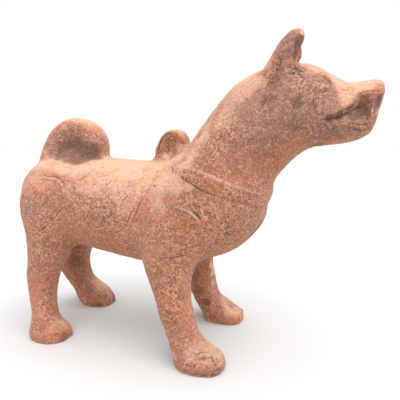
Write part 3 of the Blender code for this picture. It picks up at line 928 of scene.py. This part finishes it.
@dataclass(frozen=True)
class Legs(Region):
    """The four legs and their paws."""

    elbow: Stroke = Stroke(((155, 267), (162, 258.4), (174, 257.6), (185, 255.6), (197, 258)), 1.5, 0.8, 0.25)
    elbow_end: Stroke = Stroke(((155, 280), (156.4, 272), (160, 262)), 1.5, 0.6, 0.25)
    near_marks: Strokes = alike(
        1.1, 0.6, 0.4,
        ((181, 289), (178.6, 296), (180, 303)), ((177, 298), (178, 306), (182, 311)),
        ((168, 318), (172, 320)), ((160.4, 270.6), (161.6, 272.4)), ((36.4, 242), (33.2, 249)),
        ((36.8, 262), (38.6, 270)), ((34, 280), (37, 284)), ((44, 300), (43, 306)),
        both=False,
    )
    paw_pits: Strokes = alike(
        1.2, 0.8, 1.1,
        ((181.2, 349.6), (182.2, 350.6)), ((208.2, 350.9), (209.4, 351.6)), ((216.2, 348.4), (217.2, 349.2)),
        ((207.8, 357.4), (210, 358.6)), ((216.4, 358.6), (217.8, 359.6)), ((222.2, 356.4), (222.8, 357.6)),
        ((213.6, 362.6), (215.2, 364.9), (216.6, 363.8)), ((219, 361.6), (220.2, 360.2)),
    )
    paw_dips: Strokes = alike(
        3.2, 1.3, 0.1,
        ((194, 358.8), (201, 359.8), (208, 358.8)), ((185, 365.4), (190, 366.8), (196, 366)),
        ((210, 356), (213, 360), (215, 364)),
    )
    rear_toes: Strokes = alike(
        1.4, 0.8, 0.6, ((52, 337), (57, 334), (61, 334.6)), ((38, 331), (46, 332.6))
    )
    # painted shade along the fore paw's bottom, where it meets the ground
    sole_line: Stroke = Stroke(((205, 372.4), (213, 371.4), (219, 370), (222.8, 368.4)), 1.4, 0.8, 0.6)
    far_marks: Strokes = alike(
        1.3, 0.7, 0.9,
        ((218.2, 291), (220.4, 295)), ((98, 294.6), (99.2, 296.4)), ((226, 304), (231, 306), (234, 312)),
        ((104, 288), (106, 296), (105, 303)),
        both=False,
    )
    # raised folds of the paw, with a faint painted highlight
    paw_folds: Strokes = alike(
        3.2, -1.4, -0.2,
        ((216.8, 366.6), (220, 364.8), (222.6, 361.4)), ((185.4, 363.2), (189, 360.2), (193.6, 358.6)),
        ((198, 355.6), (205, 355), (211, 355.8)), ((190, 350), (197, 352), (204, 351)),
    )
    soot: Places = (
        (176, 284, 24, 0.4), (176, 312, 18, 0.4), (186, 336, 12, 0.4), (160, 276, 24, 0.6),
        (174, 326, 13, 0.3), (44, 262, 20, 0.5), (46, 296, 14, 0.5),
    )
    # ochre; the patches along the paws' bottoms are painted shade where the paws meet the ground
    ochre: Places = (
        (160, 304, 14, 0.5), (172, 334, 12, 0.4), (168, 298, 42, 0.8), (150, 282, 12, 0.9),
        (192, 257, 10, 0.8),
        (190, 371, 12, 0.5), (206, 373, 12, 0.4), (219, 371, 9, 0.4), (213, 360, 9, 0.6),  # the fore paw
        (44, 280, 44, 0.55), (40, 324, 14, 0.6), (58, 330, 14, 0.8), (38, 341, 12, 0.9),  # the rear leg
        (52, 342, 12, 0.9), (64, 340, 9, 0.8), (65, 338, 9, 1), (62, 338, 10, 0.8),
    )
    # painted shade on the near fore leg, along the paws' bottoms and on the rear leg
    dusk: Places = (
        (156, 284, 24, 0.25), (175, 329, 14, 0.4), (170, 268, 26, 0.3), (182, 294, 13, 0.35),
        (162, 261, 8, 0.4),
        (205, 375.5, 5, 0.7), (213, 375.5, 5, 0.8), (219, 373, 4, 0.6), (220, 372, 7, 0.5),  # the fore paw
        (197, 374, 6, 0.5), (213, 360, 9, 0.35),
        (53, 242, 16, 0.4), (62, 334, 13, 0.4), (65, 338, 9, 0.5),  # the rear leg and paw
    )
    mauve: Places = ((204, 356, 36, 0.5),)
    # paler clay, partly painted light on the paws' lit tops and at the tail's foot
    pale: Places = (
        (204, 352, 26, 0.5), (174, 356, 9, 0.9), (190, 358, 10, 0.8), (60, 272, 7, 0.8), (38, 336, 9, 0.8),
        (46, 153, 9, 0.9),
    )
    # painted light on the far fore leg's lit front strip and on the far paws' ends
    pale_here: Places = (
        (210.5, 265, 5, 1), (211.5, 274, 5, 1), (213, 283, 6, 1), (212, 265, 8, 1), (214, 272, 8, 1),
        (213.5, 268, 8, 1), (208, 320, 7, 0.9), (230, 313, 17, 0.75),
        (112, 294, 9, 1), (111, 292, 8, 0.8), (84, 300, 8, 0.8),  # the rear paw
    )
    ochre_here: Places = (
        (216, 318, 12, 0.9), (232, 322, 12, 0.9), (224, 312, 14, 0.6), (90, 304, 12, 0.9),
        (103, 306, 12, 0.9),
    )
    # painted shade on the far legs' inner faces, which the body shades
    dusk_here: Places = (
        (74, 248, 18, 0.5), (77, 264, 20, 0.5), (84, 280, 16, 0.35), (92, 288, 10, 0.45), (96, 300, 10, 0.35),
        (98.5, 306, 7, 0.6), (196, 276, 12, 0.55), (198, 290, 11, 0.5), (206, 302, 8, 0.8),
    )
    soot_here: Places = ((218, 306, 9, 0.5),)


@dataclass
class ClaySkin:
    """The figure's worked skin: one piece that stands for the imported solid. Sizes are in millimetres."""

    view: Viewpoint
    finish: bpy.types.Material
    low: Vector
    weld: float = 0.001
    grain: float = 2.45
    smoothing: int = 5
    beside_lines: float = 1.4
    head: tuple[float, float] = (276.0, 190.0)  # how far ahead of the rump and how high the head begins
    face: tuple[float, float] = (318.0, 200.0)
    face_top: float = 255.0
    line_end: float = 0.04  # the share of a line at which its taper stops
    line_taper: float = 0.45
    line_change: tuple[float, float] = (0.75, 1.15)  # how the pressure varies along a line
    line_seed: int = 7
    lump: float = 26.0
    lump_height: float = 0.6
    dent: float = 7.0
    dent_height: float = 0.5
    pits_per_area: float = 2600.0
    pit_reach: float = 1.8
    pit_depth: float = 0.7
    pit_seed: int = 11
    crumb: float = 2.8
    crumb_height: float = 4.2
    crumb_level: float = 0.56  # the noise at which broken clay neither rises nor sinks
    crumb_detail: float = 2.0
    crumb_warp: float = 0.6
    broken_edge: float = 1.6  # how steeply a broken or stained place begins
    stain_edge: float = 1.4
    sole: float = 0.9
    chip_reach: float = 4.0
    chip_depth: float = 0.7
    chip_way: tuple[float, float, float] = (0.72, 0.35, 0.6)
    fine: int = 4
    broad: int = 12
    hollow: float = 0.4
    cloud: float = 30.0
    worn: tuple[float, float, float] = (0.005, 0.03, -0.1)  # everywhere, by the clouds and where it faces up
    worn_by: tuple[tuple[StainOrPaintedLight, float], ...] = (
        (StainOrPaintedLight.SOOT, 0.035),
        (StainOrPaintedLight.MAUVE, -0.005),
        (StainOrPaintedLight.PALE, -0.02),
        (StainOrPaintedLight.OCHRE, -0.02),
    )
    parts: tuple[Region, ...] = (Head(), Harness(), Tail(), Trunk(), Legs())

    def build(self, solid: bpy.types.Object) -> None:
        """Makes the skin.

        Args:
            solid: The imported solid.
        """
        self.piece = self.copy_of(solid)
        self.smooth()
        self.surface = Clay(self.piece, self.view, self.low)
        ridges = self.lines("raised lines", True)
        cuts = self.lines("scored lines", False)
        self.refine((ridges, cuts))
        self.unevenness()
        self.chip_ears()
        self.break_clay()
        self.press(ridges)
        self.press(cuts)
        self.pits()
        self.flatten_soles()
        self.weather()
        self.stain()
        for helper in (ridges, cuts):
            bpy.data.objects.remove(helper, do_unlink=True)
        self.piece.data.shade_smooth()
        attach(self.piece, BODY)
        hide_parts(NODE)
        self.piece.data.calc_loop_triangles()
        LOG.info("%s: %d triangles", self.piece.name, len(self.piece.data.loop_triangles))

    def copy_of(self, solid: bpy.types.Object) -> bpy.types.Object:
        """Copies the solid and lays a closed skin of even faces round it.

        Args:
            solid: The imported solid.

        Returns:
            The skin.
        """
        mesh = solid.data.copy()
        bm = bmesh.new()
        bm.from_mesh(mesh)
        bmesh.ops.remove_doubles(bm, verts=bm.verts, dist=self.weld * MM)
        bm.to_mesh(mesh)
        bm.free()
        mesh.materials.clear()
        for name in [a.name for a in mesh.attributes if not a.is_required and not a.is_internal]:
            layer = mesh.attributes.get(name)
            if layer is not None:
                mesh.attributes.remove(layer)
        piece = bpy.data.objects.new("clay_dog_skin", mesh)
        bpy.context.scene.collection.objects.link(piece)
        mod = piece.modifiers.new("skin", "REMESH")
        mod.mode = "VOXEL"
        mod.voxel_size = self.grain * MM
        settle(piece)
        return piece

    def smooth(self) -> None:
        """Takes the solid's facets off: blurs the places, and gives back what the blur took off the form."""
        recipe = Recipe("smooth the clay")
        node = partial(add, recipe.tree)
        passes = recipe.take("Passes", self.smoothing, "NodeSocketInt")
        kind = {"data_type": "FLOAT_VECTOR"}
        place = node("GeometryNodeInputPosition")
        once = node("GeometryNodeBlurAttribute", {"Value": place, "Iterations": passes}, **kind)
        twice = node("GeometryNodeBlurAttribute", {"Value": once, "Iterations": passes}, **kind)
        lost = node("ShaderNodeVectorMath", {0: once, 1: twice}, operation="SUBTRACT")
        full = node("ShaderNodeVectorMath", {0: once, 1: lost}, operation="ADD")
        result = node("GeometryNodeSetPosition", {"Geometry": recipe.geometry, "Position": full})
        recipe.work(self.piece, result, self.finish)

    def lines(self, name: str, raised: bool) -> bpy.types.Object:
        """Lays the regions' strokes over the clay as a helper object of edges.

        Args:
            name: The helper's name.
            raised: Whether it takes the raised strokes or the ones pressed in.

        Returns:
            The helper, whose points carry each stroke's reach, rise and darkness.
        """
        dice = Random(self.line_seed)
        points: list[Vector] = []
        edges: list[tuple[int, int]] = []
        rows: list[tuple[float, float, float]] = []
        for stroke in [stroke for part in self.parts for stroke in part.lines(raised)]:
            for side in self.surface.trace(stroke.path, stroke.both):
                first = len(points)
                for k, point in enumerate(side):
                    share = min(max(k / (len(side) - 1), self.line_end), 1 - self.line_end)
                    taper = math.sin(math.pi * share) ** self.line_taper
                    lively = taper * dice.uniform(*self.line_change)
                    rise = -stroke.press * MM * lively
                    points.append(point)
                    rows.append((stroke.reach * MM * taper, rise, stroke.dark * lively))
                edges += [(k, k + 1) for k in range(first, len(points) - 1)]
        mesh = bpy.data.meshes.new(name)
        mesh.from_pydata(points, edges, [])
        helper = bpy.data.objects.new(name, mesh)
        bpy.context.scene.collection.objects.link(helper)
        for layer, column in zip(("reach", "rise", "dark"), np.array(rows).T):
            put_layer(helper, layer, column)
        return helper

    def refine(self, helpers: tuple[bpy.types.Object, ...]) -> None:
        """Halves the faces of the head and those along the lines, and once more those of the face.

        Args:
            helpers: The lines.
        """
        points = points_of(self.piece)
        chosen = self.ahead(points, self.head)
        for helper in helpers:
            spots = points_of(helper)
            tree = KDTree(len(spots))
            for k, spot in enumerate(spots):
                tree.insert(spot, k)
            tree.balance()
            widths = layer_of(helper, "reach") + self.beside_lines * MM
            for k in np.flatnonzero(~chosen):
                _, nearest, away = tree.find(points[k])
                chosen[k] = away < widths[nearest]
        self.halve(chosen)
        points = points_of(self.piece)
        self.halve(self.ahead(points, self.face) & (points[:, 2] < self.face_top * MM))

    def ahead(self, points: np.ndarray, start: tuple[float, float]) -> np.ndarray:
        """Which points are further ahead of the rump, and higher, than the start."""
        return (points[:, 0] > self.low.x + start[0] * MM) & (points[:, 2] > start[1] * MM)

    def halve(self, chosen: np.ndarray) -> None:
        """Halves the faces round some points.

        Args:
            chosen: Which of the piece's points they are.
        """
        bm = bmesh.new()
        bm.from_mesh(self.piece.data)
        bm.verts.ensure_lookup_table()
        edges = {e for k in np.flatnonzero(chosen) for f in bm.verts[k].link_faces for e in f.edges}
        bmesh.ops.subdivide_edges(bm, edges=sorted(edges, key=lambda e: e.index), cuts=1, use_grid_fill=True)
        bm.to_mesh(self.piece.data)
        bm.free()

    def unevenness(self) -> None:
        """Makes the skin as uneven as a hand leaves it."""
        recipe = Recipe("uneven from the hand")
        node = partial(add, recipe.tree)
        sizes = (
            (recipe.take("Lump Size", self.lump * MM), recipe.take("Lump Height", self.lump_height * MM)),
            (recipe.take("Dent Size", self.dent * MM), recipe.take("Dent Height", self.dent_height * MM)),
        )
        place = node("GeometryNodeInputPosition")
        height = 0.0
        for size, rise in sizes:
            scale = node("ShaderNodeMath", {0: 1.0, 1: size}, operation="DIVIDE")
            bumps = node("ShaderNodeTexNoise", {"Vector": place, "Scale": scale, "Detail": 1.0})
            centred = node("ShaderNodeMath", {0: bumps, 1: 2.0, 2: -1.0}, operation="MULTIPLY_ADD")
            height = node("ShaderNodeMath", {0: centred, 1: rise, 2: height}, operation="MULTIPLY_ADD")
        recipe.work(self.piece, self.shifted(recipe, height), self.finish)

    def shifted(self, recipe: Recipe, height: bpy.types.Node) -> bpy.types.Node:
        """Moves every point along its normal.

        Args:
            recipe: The tree.
            height: The node that says how far, in metres.

        Returns:
            The node that gives the geometry.
        """
        node = partial(add, recipe.tree)
        normal = node("GeometryNodeInputNormal")
        offset = node("ShaderNodeVectorMath", {0: normal, "Scale": height}, operation="SCALE")
        return node("GeometryNodeSetPosition", {"Geometry": recipe.geometry, "Offset": offset})

    def within(self, recipe: Recipe, near: bpy.types.Node, reach: bpy.types.Node) -> bpy.types.Node:
        """Measures how far inside a mark's reach each point is.

        Args:
            recipe: The tree.
            near: The node that finds the nearest mark.
            reach: The node that gives that mark's reach, in metres.

        Returns:
            The node that gives the share, from 1 on the mark to 0 at its reach.
        """
        limits = {"From Min": 0.0, "From Max": reach, "To Min": 1.0, "To Max": 0.0}
        values = {"Value": out(near, "Distance"), **limits}
        return add(recipe.tree, "ShaderNodeMapRange", values, interpolation_type="SMOOTHSTEP")

    def press(self, helper: bpy.types.Object) -> None:
        """Presses a helper's lines into the clay, or raises them, and marks how dark they are: the pressed
        ones darker, partly as dirt in the scores and partly as painted shade, the raised ones lighter, as a
        painted highlight.

        Args:
            helper: The lines.
        """
        recipe = Recipe("press " + helper.name)
        node = partial(add, recipe.tree)
        lines = recipe.take("Lines", helper, "NodeSocketObject")
        source = out(node("GeometryNodeObjectInfo", {"Object": lines}), "Geometry")
        near = node("GeometryNodeProximity", {"Geometry": source}, target_element="EDGES")
        nearest = node("GeometryNodeSampleNearest", {"Geometry": source}, domain="POINT")
        kind = {"data_type": "FLOAT", "domain": "POINT"}
        found = {}
        for name in ("reach", "rise", "dark"):
            layer = node("GeometryNodeInputNamedAttribute", {"Name": name}, data_type="FLOAT")
            values = {"Geometry": source, "Value": out(layer, "Attribute"), "Index": nearest}
            found[name] = node("GeometryNodeSampleIndex", values, **kind)
        share = self.within(recipe, near, found["reach"])
        height = node("ShaderNodeMath", {0: share, 1: found["rise"]}, operation="MULTIPLY")
        result = self.shifted(recipe, height)
        # the pressed lines' darkness, partly painted shade, and the raised lines' painted highlight
        for name, sign in (("groove", 1.0), ("burr", -1.0)):
            before = node("GeometryNodeInputNamedAttribute", {"Name": name}, data_type="FLOAT")
            signed = node("ShaderNodeMath", {0: found["dark"], 1: sign}, operation="MULTIPLY")
            here = node("ShaderNodeMath", {0: share, 1: signed}, operation="MULTIPLY")
            most = node("ShaderNodeMath", {0: here, 1: out(before, "Attribute")}, operation="MAXIMUM")
            values = {"Geometry": result, "Name": name, "Value": most}
            result = node("GeometryNodeStoreNamedAttribute", values, **kind)
        recipe.work(self.piece, result, self.finish)

    def pits(self) -> None:
        """Scatters small pits over the clay and presses them in."""
        recipe = Recipe("pits")
        node = partial(add, recipe.tree)
        density = recipe.take("Pits per Area", self.pits_per_area)
        reach = recipe.take("Reach", self.pit_reach * MM)
        depth = recipe.take("Depth", -self.pit_depth * MM)
        seed = recipe.take("Seed", self.pit_seed, "NodeSocketInt")
        spread = {"Mesh": recipe.geometry, "Density": density, "Seed": seed}
        spots = out(node("GeometryNodeDistributePointsOnFaces", spread, distribute_method="RANDOM"), "Points")
        near = node("GeometryNodeProximity", {"Geometry": spots}, target_element="POINTS")
        nearest = node("GeometryNodeSampleNearest", {"Geometry": spots}, domain="POINT")
        size = node("FunctionNodeRandomValue", {"ID": nearest, "Seed": seed}, data_type="FLOAT")
        edge = node("ShaderNodeMath", {0: size, 1: reach}, operation="MULTIPLY")
        share = self.within(recipe, near, edge)
        drop = node("ShaderNodeMath", {0: share, 1: depth}, operation="MULTIPLY")
        height = node("ShaderNodeMath", {0: drop, 1: size}, operation="MULTIPLY")
        recipe.work(self.piece, self.shifted(recipe, height), self.finish)

    def break_clay(self) -> None:
        """Breaks the surface up beside the ears' feet."""
        points = points_of(self.piece)
        mask = np.zeros(len(points))
        for pixel, radius in [place for part in self.parts for place in part.broken]:
            for centre in self.surface.centres(pixel):
                mask = np.maximum(mask, inside(points, centre, radius, self.broken_edge))
        put_layer(self.piece, "broken", mask)
        recipe = Recipe("broken clay")
        node = partial(add, recipe.tree)
        size = recipe.take("Crumb Size", self.crumb * MM)
        rise = recipe.take("Crumb Height", self.crumb_height * MM)
        level = recipe.take("Crumb Level", -self.crumb_level)
        scale = node("ShaderNodeMath", {0: 1.0, 1: size}, operation="DIVIDE")
        place = node("GeometryNodeInputPosition")
        crumbs = {"Vector": place, "Scale": scale, "Detail": self.crumb_detail, "Distortion": self.crumb_warp}
        centred = node("ShaderNodeMath", {0: node("ShaderNodeTexNoise", crumbs), 1: level}, operation="ADD")
        held = node("GeometryNodeInputNamedAttribute", {"Name": "broken"}, data_type="FLOAT")
        part = node("ShaderNodeMath", {0: centred, 1: out(held, "Attribute")}, operation="MULTIPLY")
        height = node("ShaderNodeMath", {0: part, 1: rise}, operation="MULTIPLY")
        recipe.work(self.piece, self.shifted(recipe, height), self.finish)

    def chip_ears(self) -> None:
        """Chips the front corner of each ear's tip flat."""
        points = points_of(self.piece)
        chips = [pixel for part in self.parts for pixel in part.chips]
        for tip in [tip for pixel in chips for tip in self.surface.centres(pixel)]:
            way = np.array(self.chip_way) * (1, math.copysign(1, tip.y), 1)
            way /= np.linalg.norm(way)
            gap = points - np.array(tip)
            above = gap @ way + self.chip_depth * MM
            here = (np.linalg.norm(gap, axis=1) < self.chip_reach * MM) & (above > 0)
            points[here] -= above[here, None] * way
        put_points(self.piece, points)

    def flatten_soles(self) -> None:
        """Keeps the soles flat on the ground."""
        points = points_of(self.piece)
        points[points[:, 2] < self.sole * MM, 2] = 0.0
        put_points(self.piece, points)

    def weather(self) -> None:
        """Stores which way the clay faces and how hollow it is, its broad form aside, for the finish, which
        uses them in part to paint light on what faces up and shade on what faces down and in the hollows.
        """
        recipe = Recipe("weather the clay")
        node = partial(add, recipe.tree)
        fine = recipe.take("Fine", self.fine, "NodeSocketInt")
        broad = recipe.take("Broad", self.broad, "NodeSocketInt")
        share = recipe.take("Broad Share", -self.fine / self.broad)
        scale = recipe.take("Hollow Scale", self.hollow * MM)
        place = node("GeometryNodeInputPosition")
        normal = node("GeometryNodeInputNormal")
        kind = {"data_type": "FLOAT_VECTOR"}
        near = node("GeometryNodeBlurAttribute", {"Value": place, "Iterations": fine}, **kind)
        wide = node("GeometryNodeBlurAttribute", {"Value": near, "Iterations": broad}, **kind)
        facing = node("GeometryNodeBlurAttribute", {"Value": normal, "Iterations": broad}, **kind)
        lost = node("ShaderNodeVectorMath", {0: near, 1: place}, operation="SUBTRACT")
        form = node("ShaderNodeVectorMath", {0: wide, 1: near}, operation="SUBTRACT")
        form = node("ShaderNodeVectorMath", {0: form, "Scale": share}, operation="SCALE")
        lost = node("ShaderNodeVectorMath", {0: lost, 1: form}, operation="ADD")
        depth = node("ShaderNodeVectorMath", {0: lost, 1: normal}, operation="DOT_PRODUCT")
        share = node("ShaderNodeMath", {0: out(depth, "Value"), 1: scale}, operation="DIVIDE")
        parts = node("ShaderNodeSeparateXYZ", {"Vector": facing})
        result = recipe.geometry
        for name, value in (("hollow", share), ("skyward", out(parts, "Z"))):
            values = {"Geometry": result, "Name": name, "Value": value}
            result = node("GeometryNodeStoreNamedAttribute", values, data_type="FLOAT", domain="POINT")
        recipe.work(self.piece, result, self.finish)

    def stain(self) -> None:
        """Stores how far each stain, and the painted light and shade, reaches, and how worn the clay is
        between them.
        """
        points = points_of(self.piece)
        layers = {stain: np.zeros(len(points)) for stain in StainOrPaintedLight}
        for patch in [patch for part in self.parts for patch in part.patches()]:
            for centre in self.surface.centres(patch.pixel, patch.both):
                share = patch.strength * inside(points, centre, patch.radius, self.stain_edge)
                layers[patch.stain] += share * (1 - layers[patch.stain])
        for stain, values in layers.items():
            put_layer(self.piece, stain.value, values)
        skyward = layer_of(self.piece, "skyward")
        put_layer(self.piece, "earthward", -skyward)
        put_layer(self.piece, "crest", -layer_of(self.piece, "hollow"))
        clouds = np.array([noise.noise(Vector(point) / (self.cloud * MM)) for point in points])
        everywhere, by_clouds, by_sky = self.worn
        worn = everywhere + by_clouds * clouds + by_sky * np.clip(skyward, 0, 1) ** 2
        worn += sum(share * layers[stain] for stain, share in self.worn_by)
        put_layer(self.piece, "worn", worn)


@dataclass(frozen=True)
class Studio:
    """A plain pale floor, and soft light from an even sky and a broad source overhead."""

    floor_radius: float = 40.0  # metres
    floor_sides: int = 96
    floor_colour: str = "#C8C8C8"
    sky_colour: str = "#FFFFFF"
    sky: float = 1.0
    overhead: float = 3.3  # watts to a square metre
    overhead_width: float = 80.0  # degrees
    overhead_from: tuple[float, float, float] = (0.32, -0.27, 1.0)

    def make(self) -> None:
        """Makes the floor, the sky and the light overhead."""
        self.floor()
        world = bpy.data.worlds.new("studio")
        world.use_nodes = True
        world.node_tree.nodes.clear()
        colour = {"Color": rgb(self.sky_colour), "Strength": self.sky}
        sky = add(world.node_tree, "ShaderNodeBackground", colour)
        add(world.node_tree, "ShaderNodeOutputWorld", {"Surface": sky})
        bpy.context.scene.world = world
        data = bpy.data.lights.new("overhead", "SUN")
        data.energy = self.overhead
        data.angle = math.radians(self.overhead_width)
        light = bpy.data.objects.new("overhead", data)
        light.location = self.overhead_from
        light.rotation_euler = Vector(self.overhead_from).to_track_quat("Z", "Y").to_euler()
        bpy.context.scene.collection.objects.link(light)
        bpy.context.scene.view_settings.view_transform = "Standard"

    def floor(self) -> None:
        """Makes the floor, a wide disc."""
        bm = bmesh.new()
        bmesh.ops.create_circle(bm, cap_ends=True, segments=self.floor_sides, radius=self.floor_radius)
        mesh = bpy.data.meshes.new("studio_floor")
        bm.to_mesh(mesh)
        bm.free()
        paper = bpy.data.materials.new("matt white paper")
        paper.use_nodes = True
        shader = paper.node_tree.nodes["Principled BSDF"]
        shader.inputs["Base Color"].default_value = rgb(self.floor_colour)
        shader.inputs["Roughness"].default_value = 1.0
        shader.inputs["Specular IOR Level"].default_value = 0.0
        mesh.materials.append(paper)
        floor = bpy.data.objects.new("studio_floor", mesh)
        bpy.context.scene.collection.objects.link(floor)


def main() -> None:
    """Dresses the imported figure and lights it."""
    logging.basicConfig(level=logging.INFO, format="%(name)s: %(message)s")
    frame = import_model()
    low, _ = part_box(NODE)
    view = Viewpoint()
    view.make(low)
    Studio().make()
    ClaySkin(view, Earthenware().make(), low).build(frame["nodes"][NODE])


if __name__ == "__main__":
    main()
